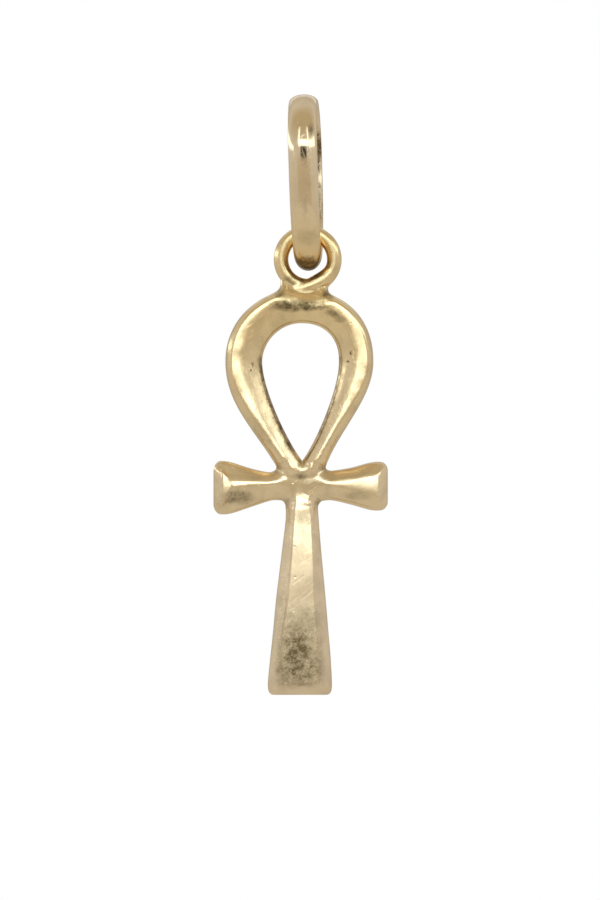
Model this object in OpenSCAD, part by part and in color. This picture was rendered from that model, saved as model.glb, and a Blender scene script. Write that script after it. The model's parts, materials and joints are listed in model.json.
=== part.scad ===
// Ankh pendant in yellow gold: a looped cross, cast in one piece with its own ring, hangs in a plain bail.
// Sizes are millimetres. Z is up, X is to the right and the front faces -Y.
// The origin is the top of the bail's opening, where a chain bears.

/* [Bail] */
// Length from the top of the bail to its foot
bail_h = 10.4; // [9.5:0.1:13]
// Depth from front to back where the bail is widest
bail_depth = 7.2; // [6.8:0.1:9]
// Distance from the top down to the widest place
bail_shoulder = 3.6; // [3:0.1:4.5]
// Width of the band at the top
bail_w = 1.7; // [1.3:0.05:2.4]
// Thickness of the band at the top and down the sides
bail_t = 0.9; // [0.7:0.05:1.1]
// Rise of the rounded outer face of the band
bail_crown = 0.47; // [0.1:0.01:0.55]
// Width of the foot, which the ring hangs on
bail_foot_w = 1.65; // [1.3:0.05:2]
// Thickness of the foot
bail_foot_t = 1.7; // [1.3:0.05:2]
// Turn of the bail about the vertical, in degrees
bail_turn = 2.8; // [0:0.1:8]
// Lean of the bail to the right at its foot, in degrees
bail_lean = 1.6; // [0:0.1:4]

/* [Ring] */
// Diameter of the ring's round wire
ring_wire_d = 0.88; // [0.6:0.02:1.1]
// How much wider the ring's hole is than the foot of the bail
ring_play = 0.56; // [0.5:0.02:1]
// Gap left between the ring and the foot that it hangs on
hang_gap = 0.12; // [0.05:0.01:0.2]
// How far the ring stands to the right of the cross
ring_side = 0.42; // [0:0.02:0.6]
// How deep the ring is sunk into the top of the loop
ring_sink = 0.22; // [0.1:0.02:0.4]
// Width of the shank between the ring and the loop
shank_w = 2.78; // [2:0.02:3.2]
// Thickness of the shank from front to back
shank_t = 1.14; // [1.04:0.02:1.4]
// Height that the shank fills at the bottom of the ring's hole
shank_fill = 0.18; // [0.05:0.01:0.22]
// Radius of the hollow where the shank meets the loop
shank_fillet = 0.45; // [0.2:0.05:0.6]

/* [Loop] */
// Width across the loop
loop_w = 8.72; // [7.5:0.1:10]
// Height from the middle of the crossing to the top of the loop
loop_h = 11.6; // [10.5:0.1:13]
// Height from the middle of the crossing to the widest place
loop_mid = 7.36; // [6.5:0.1:8]
// Width of the loop's opening
eye_w = 4.55; // [3.6:0.05:5]
// Thickness of the loop over its opening
loop_top_t = 1.96; // [1.6:0.02:2.5]
// Height of the point of the opening over the middle of the crossing
eye_low = 1.47; // [1.2:0.05:2]

/* [Arms] */
// Length of the left arm from the middle of the crossing
arm_left = 5.12; // [4.5:0.1:6.5]
// Length of the right arm from the middle of the crossing
arm_right = 5.14; // [4.5:0.1:6.5]
// Height of the left arm at its end
arm_left_end = 3.26; // [2.4:0.1:4]
// Height of the right arm at its end
arm_right_end = 2.9; // [2.4:0.1:4]
// Height of both arms at the crossing
arm_neck = 1.6; // [1.2:0.05:2.2]
// Width of both arms' faces at the crossing
arm_neck_face = 0.2; // [0.1:0.02:0.6]
// Width of the left arm's face at its end
arm_left_face = 0.34; // [0.1:0.02:1]
// Width of the right arm's face at its end
arm_right_face = 1.2; // [0.3:0.05:1.6]

/* [Stem] */
// Length from the middle of the crossing to the foot
stem_l = 12.22; // [10:0.1:15]
// Width at the crossing
stem_neck = 1.88; // [1.5:0.05:2.3]
// Width at the foot
stem_foot = 3.75; // [3:0.05:5]
// Width of the flat face at the crossing
stem_neck_face = 0.98; // [0.4:0.02:1.1]
// Width of the flat face near the foot
stem_foot_face = 2.36; // [1.5:0.05:2.6]

/* [Crossing] */
// How far the notch between a leg and an arm lies out from the stem's edge
notch_out = 0.46; // [0.36:0.02:0.6]
// How far that notch lies above the arm's edge
notch_up = 0.34; // [0.24:0.02:0.44]
// How far the notch between an arm and the stem lies below the arm's edge
notch_down = 0.22; // [0.1:0.02:0.4]
// Distance along an arm or the stem in which the notches run out into its straight edges
neck_out = 0.3; // [0.2:0.02:0.5]

/* [Casting] */
// Thickness of the cross from front to back
thick = 2; // [1.7:0.05:2.6]
// Thickness of the wall that runs round its outline
wall = 1; // [0.8:0.02:1.02]
// Width of the slope beside the flat of the crossing
slope_w = 0.74; // [0.5:0.02:0.85]
// Width of the bevel across the ends of the arms
arm_bevel = 0.52; // [0.3:0.02:0.8]
// Width of the bevel across the foot of the stem
foot_bevel = 0.62; // [0.3:0.02:0.9]

/* [Hidden] */

// The bail's outline, inside and out, is two half ellipses that meet where it is widest.
bail_in_y = bail_depth / 2 - bail_t;
bail_in_up = bail_shoulder - bail_t;
bail_in_down = bail_h - bail_shoulder - bail_foot_t;
// Distance from the chain's seat down to the top of the foot
foot_in = bail_in_up + bail_in_down;
bail_steps = 56;
crown_steps = 8;
inside_steps = 6;
// The band starts to change into the foot here, as a share of the way down from the widest place.
foot_start = 0.45;
// Shares of the foot's thickness that its outer and inner rounding take
foot_outer_round = 0.56;
foot_inner_round = 0.4;
// Rounding of the band's inner face
bail_inner_crown = 0.08;

// The ring hangs on the foot of the bail.
ring_hole_d = max(bail_foot_w, bail_foot_t) + ring_play;
ring_r = (ring_hole_d + ring_wire_d) / 2;
ring_x = foot_in * sin(bail_lean);
ring_z = hang_gap - foot_in * cos(bail_lean) - ring_hole_d / 2;
// Depth that the shank is rooted in the loop
shank_root = 0.5;
// Height of the ring's middle over the top of the loop
ring_over_loop = ring_r + ring_wire_d / 2 - ring_sink;

// Half thicknesses of the cross, at its crest and at its outline
crest = thick / 2;
rim = wall / 2;
// Points on each slope, rows that spread out from the crossing, and rows along a leg and over the loop
slope_steps = 4;
spread_steps = 3;
leg_steps = 10;
arch_steps = 24;
// How round the slopes are, from 0 for straight to 1 for a quarter round
hub_round = 0.3;
loop_round = 1;
arm_round = 0.15;
stem_round = 0.1;
// The level crest of a section takes at most this share of its half width
crest_limit = 0.9;
// Where the ridge of the loop runs, as a share of its width from the outside: at the crossing, round the top
ridge_leg = 0.5;
ridge_top = 0.38;
ridge_flat = 0.06;

// The five corners round the crossing
notch_x = stem_neck / 2 + notch_out;
notch_z = arm_neck / 2 + notch_up;
armpit_z = -arm_neck / 2 - notch_down;
corner_leg_left = [-notch_x, notch_z];
corner_leg_right = [notch_x, notch_z];
corner_eye = [0, eye_low];
corner_stem_left = [-stem_neck / 2, armpit_z];
corner_stem_right = [stem_neck / 2, armpit_z];
hub = [0, 0];

// Edges of a leg, each a curve from the crossing to the widest place of the loop, that leaves the crossing
// at an angle from the vertical. The pulls are shares of the curve's height.
outer_angle = 28;
outer_pulls = [0.385, 0.315];
inner_angle = 37;
inner_pulls = [0.26, 0.26];
// The first row of a leg that is clear of the crossing, as a share of the way along these curves
leg_first = 0.12;

// Rows along an arm, from its neck to its end bevel: share of the way, share of the growth in height
ARM = [[0, 0], [0.16, 0.11], [0.36, 0.32], [0.6, 0.57], [0.82, 0.82], [1, 1]];
ALONG = 0;
SPREAD = 1;
// Rows down the stem: share of the way, share of the growth in width, and of the growth in the face's width
STEM = [
  [0, 0, 0], [0.13, 0.07, 0.13], [0.3, 0.29, 0.33], [0.5, 0.55, 0.55],
  [0.66, 0.72, 0.86], [0.82, 0.92, 0.98], [0.92, 0.99, 1], [1, 1, 1]
];
FACE = 2;
// Rows across an end bevel: share of the bevel still to go, share of the width, share of the crest's rise
END = [[0.5, 1, 0.55], [0.16, 0.96, 0.2], [0, 0.86, 0]];
TO_GO = 0;
WIDTH = 1;
RISE = 2;

function mix(a, b, t) = a + (b - a) * t;
function smooth(t) = let(c = min(max(t, 0), 1)) c * c * (3 - 2 * c);
function toward(a, b, d) = a + (b - a) * (d / norm(b - a));
function curve(a, b, c, d, t) =
  a * pow(1 - t, 3) + b * 3 * pow(1 - t, 2) * t + c * 3 * (1 - t) * t * t + d * pow(t, 3);
function backward(list) = [for (i = [len(list) - 1:-1:0]) list[i]];

// Half of a section of the cross: points on the front from the outline at a to the crest at b. The stretch
// next to b is level for the length flat, and the slope up to it is as round as roundness says.
function half_section(a, b, flat, roundness, top) =
  let(brk = toward(b, a, min(flat, norm(a - b) * crest_limit)))
  concat(
    [for (i = [0:slope_steps])
      let(s = i / slope_steps,
          p = mix(s, 1 - cos(90 * s), roundness),
          q = mix(rim, top, mix(s, sin(90 * s), roundness)),
          at = mix(a, brk, p))
      [at[0], -q, at[1]]],
    [[b[0], -top, b[1]]]);

// Two halves make a section, which runs from the left edge over the crest to the right edge as one looks at
// the front and outward along the limb.
function joined(left, right) = concat(left, [for (i = [len(right) - 2:-1:0]) right[i]]);
function section(left, crest_at, right, flat, roundness, top) =
  joined(half_section(left, crest_at, flat, roundness, top),
         half_section(right, crest_at, flat, roundness, top));

// The first section of a limb runs from one corner of the crossing to the middle and out to the next corner,
// and a few rows spread from there to the limb's first straight section.
function spoke(corner) = half_section(corner, hub, norm(corner) - slope_w, hub_round, crest);
function root(left, right) = joined(spoke(left), spoke(right));
function fan(from, to) = [for (i = [0:spread_steps - 1]) mix(from, to, i / spread_steps)];

function outer_edge(side, t) =
  let(a = [side * notch_x, notch_z], d = [side * loop_w / 2, loop_mid], h = d[1] - a[1])
  curve(a, a + h * outer_pulls[0] * [side * sin(outer_angle), cos(outer_angle)],
        d - h * outer_pulls[1] * [0, 1], d, t);
function inner_edge(side, t) =
  let(a = corner_eye, d = [side * eye_w / 2, loop_mid], h = d[1] - a[1])
  curve(a, a + h * inner_pulls[0] * [side * sin(inner_angle), cos(inner_angle)],
        d - h * inner_pulls[1] * [0, 1], d, t);
function arch(half_w, top, angle) = [-half_w * cos(angle), loop_mid + (top - loop_mid) * sin(angle)];

function loop_section(outer, inner, ridge) =
  section(outer, mix(outer, inner, ridge), inner, ridge_flat, loop_round, crest);
// Sections of a leg, from the first clear of the crossing to the widest place
function leg(side) = [
  for (i = [0:leg_steps - 1])
    let(t = mix(leg_first, 1, i / leg_steps))
    loop_section(outer_edge(side, t), inner_edge(side, t), mix(ridge_leg, ridge_top, smooth(t)))
];
function over_the_top() = [
  for (i = [0:arch_steps])
    let(angle = 180 * i / arch_steps)
    loop_section(arch(loop_w / 2, loop_h, angle), arch(eye_w / 2, loop_h - loop_top_t, angle), ridge_top)
];
function loop_rows() =
  let(first = root(corner_leg_left, corner_eye), last = root(corner_leg_right, corner_eye),
      up = leg(-1), down = leg(1))
  concat(fan(first, up[0]), up, over_the_top(), backward(down), backward(fan(last, down[0])));

// Across an end bevel the crest sinks to the height of the wall that runs round the outline.
function rise(share) = mix(rim, crest, share);

function arm_section(side, out, height, face, top) =
  section([side * out, side * height / 2], [side * out, 0], [side * out, -side * height / 2],
          face / 2, arm_round, top);
function arm_rows(side, length, end_h, face) =
  let(start = notch_x + neck_out,
      stop = length - arm_bevel,
      body = [for (r = ARM)
        arm_section(side, mix(start, stop, r[ALONG]), mix(arm_neck, end_h, r[SPREAD]),
                    mix(arm_neck_face, face, r[ALONG]), crest)],
      end = [for (r = END)
        arm_section(side, length - arm_bevel * r[TO_GO], end_h * r[WIDTH], face, rise(r[RISE]))],
      first = side > 0 ? root(corner_leg_right, corner_stem_right)
                       : root(corner_stem_left, corner_leg_left))
  concat(fan(first, body[0]), body, end);

function stem_section(down, w, face, top) =
  section([w / 2, -down], [0, -down], [-w / 2, -down], face / 2, stem_round, top);
function stem_rows() =
  let(start = neck_out - armpit_z,
      stop = stem_l - foot_bevel,
      body = [for (r = STEM)
        stem_section(mix(start, stop, r[ALONG]), mix(stem_neck, stem_foot, r[SPREAD]),
                     mix(stem_neck_face, stem_foot_face, r[FACE]), crest)],
      end = [for (r = END)
        stem_section(stem_l - foot_bevel * r[TO_GO], stem_foot * r[WIDTH], stem_foot_face, rise(r[RISE]))])
  concat(fan(root(corner_stem_right, corner_stem_left), body[0]), body, end);

// Points and faces of one limb. Each row of the front is closed into a ring by its mirror image on the back.
function ring_of(row) = concat(row, [for (p = backward(row)) [p[0], -p[1], p[2]]]);
function points_of(rows) = [for (r = rows) each ring_of(r)];
function tube_faces(rings, n, base) = [
  for (i = [0:rings - 2], j = [0:n - 1])
    let(k = (j + 1) % n, a = base + i * n + j, b = base + i * n + k)
    each [[a, a + n, b + n], [a, b + n, b]]
];
function cap_faces(n, base) = [
  for (j = [0:n / 2 - 2])
    let(f = base + j, g = base + j + 1, bf = base + n - 1 - j, bg = base + n - 2 - j)
    each [[f, bf, bg], [f, bg, g]]
];

module bail_hoop() {
  n = crown_steps + inside_steps + 2;
  rings = [for (i = [0:bail_steps - 1]) bail_ring(360 * i / bail_steps)];
  polyhedron(
    points = [for (r = rings) each r],
    faces = [for (i = [0:bail_steps - 1], j = [0:n - 1])
      let(k = (j + 1) % n, i2 = (i + 1) % bail_steps,
          a = i * n + j, b = i * n + k, c = i2 * n + j, d = i2 * n + k)
      each [[a, d, c], [a, b, d]]],
    convexity = 4);
}
// Section of the bail at an angle from its top, in the plane of the hoop. The foot share is 1 at the foot.
function bail_ring(angle) =
  let(inner = [bail_in_y * sin(angle), (cos(angle) > 0 ? bail_in_up : bail_in_down) * cos(angle)],
      outer = [bail_depth / 2 * sin(angle),
               (cos(angle) > 0 ? bail_shoulder : bail_h - bail_shoulder) * cos(angle)],
      t = norm(outer - inner),
      out = (outer - inner) / t,
      foot = smooth((-cos(angle) - foot_start) / (1 - foot_start)),
      half = mix(bail_w, bail_foot_w, foot) / 2,
      crown = mix(bail_crown, t * foot_outer_round, foot),
      hollow = mix(bail_inner_crown, t * foot_inner_round, foot),
      outside = [for (i = [0:crown_steps])
        let(a = 180 * i / crown_steps - 90) [half * sin(a), t - crown * (1 - cos(a))]],
      inside = [for (i = [0:inside_steps])
        let(a = 90 - 180 * i / inside_steps) [half * sin(a), hollow * (1 - cos(a))]])
  [for (p = concat(outside, inside))
    [p[0], -inner[0] - out[0] * p[1], inner[1] + out[1] * p[1] - bail_in_up]];

module bail()
  color("#d9b679")
  rotate([0, -bail_lean, 0])
  rotate([0, 0, -bail_turn])
  bail_hoop();

// The looped cross itself: the loop with its two legs, the arms and the stem, as one closed skin
module cross() {
  n = 4 * (slope_steps + 1) + 2;
  loop = loop_rows();
  limbs = [
    arm_rows(1, arm_right, arm_right_end, arm_right_face),
    stem_rows(),
    arm_rows(-1, arm_left, arm_left_end, arm_left_face)
  ];
  starts = [
    n * len(loop),
    n * (len(loop) + len(limbs[0])),
    n * (len(loop) + len(limbs[0]) + len(limbs[1]))
  ];
  polyhedron(
    points = concat(points_of(loop), [for (l = limbs) each points_of(l)]),
    faces = concat(
      tube_faces(len(loop), n, 0),
      [for (i = [0:2]) each concat(
        tube_faces(len(limbs[i]), n, starts[i]),
        cap_faces(n, starts[i] + n * (len(limbs[i]) - 1)))]),
    convexity = 8);
}

module ring()
  rotate([90, 0, 0])
  rotate_extrude($fn = 64)
  translate([ring_r, 0])
  circle(d = ring_wire_d, $fn = 32);

// The shank fills the bottom of the ring's hole and runs down into the loop, with a hollow on each side.
// Its middle lies halfway between the ring's and the cross's. It is drawn from the middle of the ring.
module shank() {
  top = shank_fill - ring_hole_d / 2;
  middle = -ring_side / 2;
  arch_r = pow(loop_w / 2, 2) / (loop_h - loop_mid);
  arch_centre = [-ring_side, -ring_over_loop - arch_r];
  rooted = [middle, -ring_over_loop - shank_root];
  // The web beside a hollow ends inside the loop, this share of the way from the skin to the root.
  web_end = 0.3;
  rotate([90, 0, 0])
  linear_extrude(height = shank_t, center = true)
  difference() {
    union() {
      translate([middle - shank_w / 2, rooted[1]]) square([shank_w, top - rooted[1]]);
      for (side = [-1, 1])
        polygon(let(c = hollow_centre(side, middle, arch_centre, arch_r),
                    touch = mix(arch_centre, c, arch_r / (arch_r + shank_fillet)))
          [[middle, c[1]], c, touch, mix(touch, rooted, web_end), rooted]);
    }
    for (side = [-1, 1])
      translate(hollow_centre(side, middle, arch_centre, arch_r)) circle(r = shank_fillet, $fn = 32);
  }
}
// Middle of the hollow that touches both the shank's side and the loop's round top
function hollow_centre(side, middle, arch_centre, arch_r) =
  let(x = middle + side * (shank_w / 2 + shank_fillet),
      dx = x - arch_centre[0],
      reach = arch_r + shank_fillet)
  [x, arch_centre[1] + sqrt(reach * reach - dx * dx)];

module ankh()
  color("#d6b67f")
  translate([ring_x, 0, ring_z])
  union() {
    translate([-ring_side, 0, -ring_over_loop - loop_h]) cross();
    shank();
    ring();
  }

bail();
ankh();
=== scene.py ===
"""The looks of a 9-carat gold ankh pendant: a cast looped cross with its own ring, on a plain oval bail.

Sizes are millimetres until a mesh is made. X is to the right, Z is up and the front faces -Y.
"""

import json
import math

import bmesh
import bpy
import numpy as np
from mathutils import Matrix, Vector, noise


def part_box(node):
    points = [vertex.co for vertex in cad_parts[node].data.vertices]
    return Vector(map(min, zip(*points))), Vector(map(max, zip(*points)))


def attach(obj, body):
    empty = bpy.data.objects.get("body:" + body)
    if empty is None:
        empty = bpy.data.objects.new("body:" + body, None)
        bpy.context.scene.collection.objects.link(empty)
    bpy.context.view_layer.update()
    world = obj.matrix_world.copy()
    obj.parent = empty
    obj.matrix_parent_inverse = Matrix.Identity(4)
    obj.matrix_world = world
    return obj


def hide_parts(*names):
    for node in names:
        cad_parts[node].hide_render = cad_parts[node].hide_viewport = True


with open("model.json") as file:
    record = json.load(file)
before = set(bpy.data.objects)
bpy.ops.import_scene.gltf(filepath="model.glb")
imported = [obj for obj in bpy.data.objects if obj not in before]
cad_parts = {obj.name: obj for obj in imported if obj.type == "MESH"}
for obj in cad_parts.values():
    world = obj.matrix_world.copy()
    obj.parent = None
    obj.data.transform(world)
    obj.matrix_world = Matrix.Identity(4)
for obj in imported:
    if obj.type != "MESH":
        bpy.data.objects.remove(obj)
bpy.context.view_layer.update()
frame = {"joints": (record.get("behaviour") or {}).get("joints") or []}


# The view. A long lens looks straight at the front, level with the middle of the picture, as one does to
# show a pendant without distortion. The pendant hangs well above a small white table.

MM = 0.001
PIXELS_PER_MM = 17.0
PICTURE_H = 900
VIEW_X, VIEW_Z = -0.235, -20.02
LENS, SENSOR = 200.0, 36.0
NEAREST_SEEN = 10.0

camera_away = PICTURE_H / PIXELS_PER_MM * LENS / SENSOR
camera = bpy.data.objects.new("camera", bpy.data.cameras.new("camera"))
camera.data.lens = LENS
camera.data.sensor_width = SENSOR
camera.data.clip_start = NEAREST_SEEN * MM
camera.location = Vector((VIEW_X, -camera_away, VIEW_Z)) * MM
camera.rotation_euler = (math.pi / 2, 0, 0)
bpy.context.scene.collection.objects.link(camera)
bpy.context.scene.camera = camera


def linear(hex_colour):
    """An sRGB colour such as "d9b679" as linear red, green, blue and alpha"""
    parts = [int(hex_colour[i:i + 2], 16) / 255 for i in (0, 2, 4)]
    return tuple(c / 12.92 if c <= 0.04045 else ((c + 0.055) / 1.055) ** 2.4 for c in parts) + (1.0,)


def add_node(tree, kind, inputs=None, **settings):
    """Adds one node. Settings are its properties, and inputs are values or the sockets that feed them."""
    made = tree.nodes.new(kind)
    for name, value in settings.items():
        setattr(made, name, value)
    for socket, value in (inputs or {}).items():
        if isinstance(value, bpy.types.NodeSocket):
            tree.links.new(value, made.inputs[socket])
        else:
            made.inputs[socket].default_value = value
    return made


# The light. A white photo tent, a little darker at its floor and roof, has a dark opening for the lens over
# a pale skirt. Lamp panels stand over the opening and at both sides, and two tubes run along the roof. One
# low lamp lights the cross, whose ridges would be dark without it, and a dimmed one lights the ring.

TENT_FLOOR, TENT_WHITE = "cac7c0", "d3d3d3"
TENT_ROOF, TENT_BACK = "bdb5a0", "b8b1a5"
ROOM_DARK, SKIRT_CLOTH, TABLE_CARD = "201b16", "f3ede2", "f0eeea"
DAYLIGHT = "e9f8ff"
# Where the tent's front is
FRONT = -230

# Where one colour of the tent turns into the next, by how much a line of sight rises or runs to the back
FLOOR_EDGE, ROOF_EDGE = (-0.45, 0.1), (0.35, 0.8)
FRONT_EDGE, BACK_EDGE = (0.3, -0.1), (0.45, 0.95)

world = bpy.data.worlds.new("photo tent")
bpy.context.scene.world = world
world.use_nodes = True
tree = world.node_tree
tree.nodes.clear()
where = add_node(tree, "ShaderNodeTexCoord").outputs["Generated"]
sight = add_node(tree, "ShaderNodeSeparateXYZ", {0: where}).outputs
over_floor, under_roof, in_front, behind = [
    add_node(tree, "ShaderNodeMapRange",
             {"Value": sight[axis], "From Min": start, "From Max": end}).outputs[0]
    for axis, (start, end) in (("Z", FLOOR_EDGE), ("Z", ROOF_EDGE), ("Y", FRONT_EDGE), ("Y", BACK_EDGE))]
front_roof = add_node(tree, "ShaderNodeMath", {0: under_roof, 1: in_front},
                      operation="MULTIPLY").outputs[0]
shade = linear(TENT_FLOOR)
for share, colour in ((over_floor, TENT_WHITE), (front_roof, TENT_ROOF), (behind, TENT_BACK)):
    shade = add_node(tree, "ShaderNodeMix", {"Factor": share, "A": shade, "B": linear(colour)},
                     data_type="RGBA").outputs["Result"]
tent = add_node(tree, "ShaderNodeBackground", {"Color": shade}).outputs[0]
backdrop = add_node(tree, "ShaderNodeBackground", {"Color": (1, 1, 1, 1)}).outputs[0]
path = add_node(tree, "ShaderNodeLightPath").outputs["Is Camera Ray"]
seen = add_node(tree, "ShaderNodeMixShader", {0: path, 1: tent, 2: backdrop}).outputs[0]
add_node(tree, "ShaderNodeOutputWorld", {"Surface": seen})

bpy.context.scene.view_settings.view_transform = "Standard"


def panel(name, centre, size, brightness):
    """A lamp panel that faces the middle of the pendant. Its brightness is a share of plain white."""
    data = bpy.data.lights.new(name, "AREA")
    data.shape = "RECTANGLE"
    data.size, data.size_y = size[0] * MM, size[1] * MM
    data.energy = brightness * math.pi * data.size * data.size_y
    data.color = linear(DAYLIGHT)[:3]
    lamp = bpy.data.objects.new(name, data)
    lamp.location = Vector(centre) * MM
    aim = Vector(centre) - Vector((0, 0, VIEW_Z))
    lamp.rotation_euler = aim.to_track_quat("Z", "Y").to_euler()
    bpy.context.scene.collection.objects.link(lamp)
    return lamp


# The middle, the width and height, and the brightness of each
panel("lamp_over_lens", (0, FRONT, 86), (200, 52), 2.0)
panel("lamp_left", (-230, 20, 42), (420, 34), 1.7)
panel("lamp_right", (200, -150, 88), (250, 66), 1.6)
panel("roof_tube_left", (-80, -190, 150), (26, 120), 1.5)
panel("roof_tube_right", (80, -190, 150), (26, 120), 1.5)
panel("lamp_behind", (0, 220, 110), (230, 80), 0.35)

# The low lamps hang in one place and light only what their collections hold, so the bail gets neither
LOW_AT, LOW_SIZE = (0, FRONT + 14, 24), (120, 74)
lit_low = bpy.data.collections.new("pieces that the low lamp lights")
panel("low_lamp", LOW_AT, LOW_SIZE, 2.7).light_linking.receiver_collection = lit_low
lit_dimly = bpy.data.collections.new("pieces that the low lamp lights less")
panel("low_lamp_dimmed", LOW_AT, LOW_SIZE, 1.15).light_linking.receiver_collection = lit_dimly


def matt(name, colour, roughness):
    """Cloth or card, which looks equally pale or dark from every side and has no shine"""
    made = bpy.data.materials.new(name)
    made.use_nodes = True
    shader = made.node_tree.nodes["Principled BSDF"]
    shader.inputs["Base Color"].default_value = linear(colour)
    shader.inputs["Roughness"].default_value = roughness
    return made


def card(name, centre, size, colour):
    """An upright card that the metal reflects and the camera doesn't see"""
    w, h = size[0] / 2, size[1] / 2
    corners = [(x * MM, 0, z * MM) for x, z in ((-w, -h), (w, -h), (w, h), (-w, h))]
    mesh = bpy.data.meshes.new(name)
    mesh.from_pydata(corners, [], [(0, 1, 2, 3)])
    made = bpy.data.objects.new(name, mesh)
    made.location = Vector(centre) * MM
    made.visible_camera = False
    bpy.context.scene.collection.objects.link(made)
    mesh.materials.append(matt("matt cloth " + name, colour, 1.0))


card("lens_opening", (0, FRONT, 29), (108, 62), ROOM_DARK)
card("tent_skirt", (0, FRONT, -64), (260, 124), SKIRT_CLOTH)

TABLE_R, TABLE_Z, TABLE_CORNERS = 120.0, -62.0, 96
bpy.ops.mesh.primitive_circle_add(vertices=TABLE_CORNERS, radius=TABLE_R * MM, fill_type="NGON",
                                  location=(0, 0, TABLE_Z * MM))
table = bpy.context.object
table.name = "table"
table.data.materials.append(matt("pale card table", TABLE_CARD, 0.8))


# The bail. A hoop of D-section band, bent and soldered shut, then filed thicker and round at the foot where
# the pendant's ring hangs. It is the most polished piece, because the chain rubs it.

# The hoop, which is deepest at its shoulder, so far below its top
BAIL_H, BAIL_DEPTH, BAIL_SHOULDER = 10.4, 7.2, 3.6
# The band, how much its outside is crowned and how much its inner edges are eased
BAIL_W, BAIL_T, BAIL_CROWN, INSIDE_EASE = 1.7, 0.9, 0.47, 0.08
# The foot, the share of the way down from the shoulder where it starts, and how round it is outside and in
FOOT_W, FOOT_T, FOOT_START = 1.65, 1.7, 0.45
FOOT_OUTER_ROUND, FOOT_INNER_ROUND = 0.56, 0.4
# Degrees
BAIL_TURN, BAIL_LEAN = 2.8, 1.6
BAIL_STEPS, CROWN_STEPS, INSIDE_STEPS = 96, 14, 10


def mix(a, b, t):
    """What is a share t of the way from a to b"""
    return a + (b - a) * t


def smooth(t):
    """A soft step from 0 to 1 as t goes from 0 to 1"""
    t = np.clip(t, 0, 1)
    return t * t * (3 - 2 * t)


def bail_section(angle):
    """Points round the band at an angle from the top of the hoop"""
    up = math.cos(angle) > 0
    top_in = BAIL_SHOULDER - BAIL_T
    inner = np.array([(BAIL_DEPTH / 2 - BAIL_T) * math.sin(angle),
                      (top_in if up else BAIL_H - BAIL_SHOULDER - FOOT_T) * math.cos(angle)])
    outer = np.array([BAIL_DEPTH / 2 * math.sin(angle),
                      (BAIL_SHOULDER if up else BAIL_H - BAIL_SHOULDER) * math.cos(angle)])
    thick = np.linalg.norm(outer - inner)
    out = (outer - inner) / thick
    foot = smooth((-math.cos(angle) - FOOT_START) / (1 - FOOT_START))
    half = mix(BAIL_W, FOOT_W, foot) / 2
    crown = mix(BAIL_CROWN, thick * FOOT_OUTER_ROUND, foot)
    ease = mix(INSIDE_EASE, thick * FOOT_INNER_ROUND, foot)
    section = []
    for i in range(CROWN_STEPS + 1):
        a = math.pi * (i / CROWN_STEPS - 0.5)
        section.append((half * math.sin(a), thick - crown * (1 - math.cos(a))))
    for i in range(INSIDE_STEPS + 1):
        a = math.pi * (0.5 - i / INSIDE_STEPS)
        section.append((half * math.sin(a), ease * (1 - math.cos(a))))
    return [(across, -inner[0] - out[0] * away, inner[1] + out[1] * away - top_in)
            for across, away in section]


def turned(p):
    """A point of the bail after its turn about the vertical and its lean to the right"""
    turn, lean = math.radians(-BAIL_TURN), math.radians(-BAIL_LEAN)
    x, y, z = p
    x, y = x * math.cos(turn) - y * math.sin(turn), x * math.sin(turn) + y * math.cos(turn)
    return (x * math.cos(lean) + z * math.sin(lean), y, -x * math.sin(lean) + z * math.cos(lean))


def tube(sections, closed):
    """Quads between sections that all have as many points. A closed tube's last section meets its first."""
    n, rows = len(sections[0]), len(sections)
    return [(i * n + j, i * n + (j + 1) % n, (i + 1) % rows * n + (j + 1) % n, (i + 1) % rows * n + j)
            for i in range(rows if closed else rows - 1) for j in range(n)]


# Points that are closer than this, in metres, are one
SAME_POINT = 1e-7


def make_mesh(name, points, faces, place=(0, 0, 0)):
    """A mesh object from points in millimetres, with equal points merged and every face turned outward"""
    mesh = bpy.data.meshes.new(name)
    mesh.from_pydata([tuple((np.array(p) + place) * MM) for p in points], [], faces)
    work = bmesh.new()
    work.from_mesh(mesh)
    bmesh.ops.remove_doubles(work, verts=work.verts, dist=SAME_POINT)
    bmesh.ops.recalc_face_normals(work, faces=work.faces)
    for f in work.faces:
        f.smooth = True
    work.to_mesh(mesh)
    work.free()
    made = bpy.data.objects.new(name, mesh)
    bpy.context.scene.collection.objects.link(made)
    return made


sections = [bail_section(2 * math.pi * i / BAIL_STEPS) for i in range(BAIL_STEPS)]
bail = make_mesh("bail_hoop", [turned(p) for s in sections for p in s], tube(sections, True))
softer = bail.modifiers.new("softer", "SUBSURF")
softer.levels = softer.render_levels = 1

# Clean gold; the bail's foot, yellower as a painted reflection of the ring that hangs in it; and old
# tarnish, whose colour also serves for painted shade
GOLD, GOLD_WITH_RING_REFLECTION, TARNISH_AND_SHADE_COLOUR = "f0d8b1", "efcf98", "6f5e40"
# How much tarnish and painted shade dull the gold
DULLED = 0.2
# A patch fades between these shares of its half sizes. Its edge wanders by RAGGED millimetres.
PATCH_CORE, PATCH_EDGE, RAGGED = 0.3, 1.2, 0.5
# How many of each pattern go in a millimetre
RAGS_PER_MM, CLOUDS_PER_MM, BLOTCHES_PER_MM, SPECKS_PER_MM = 2.2, 0.8, 2.4, 8.0


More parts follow.
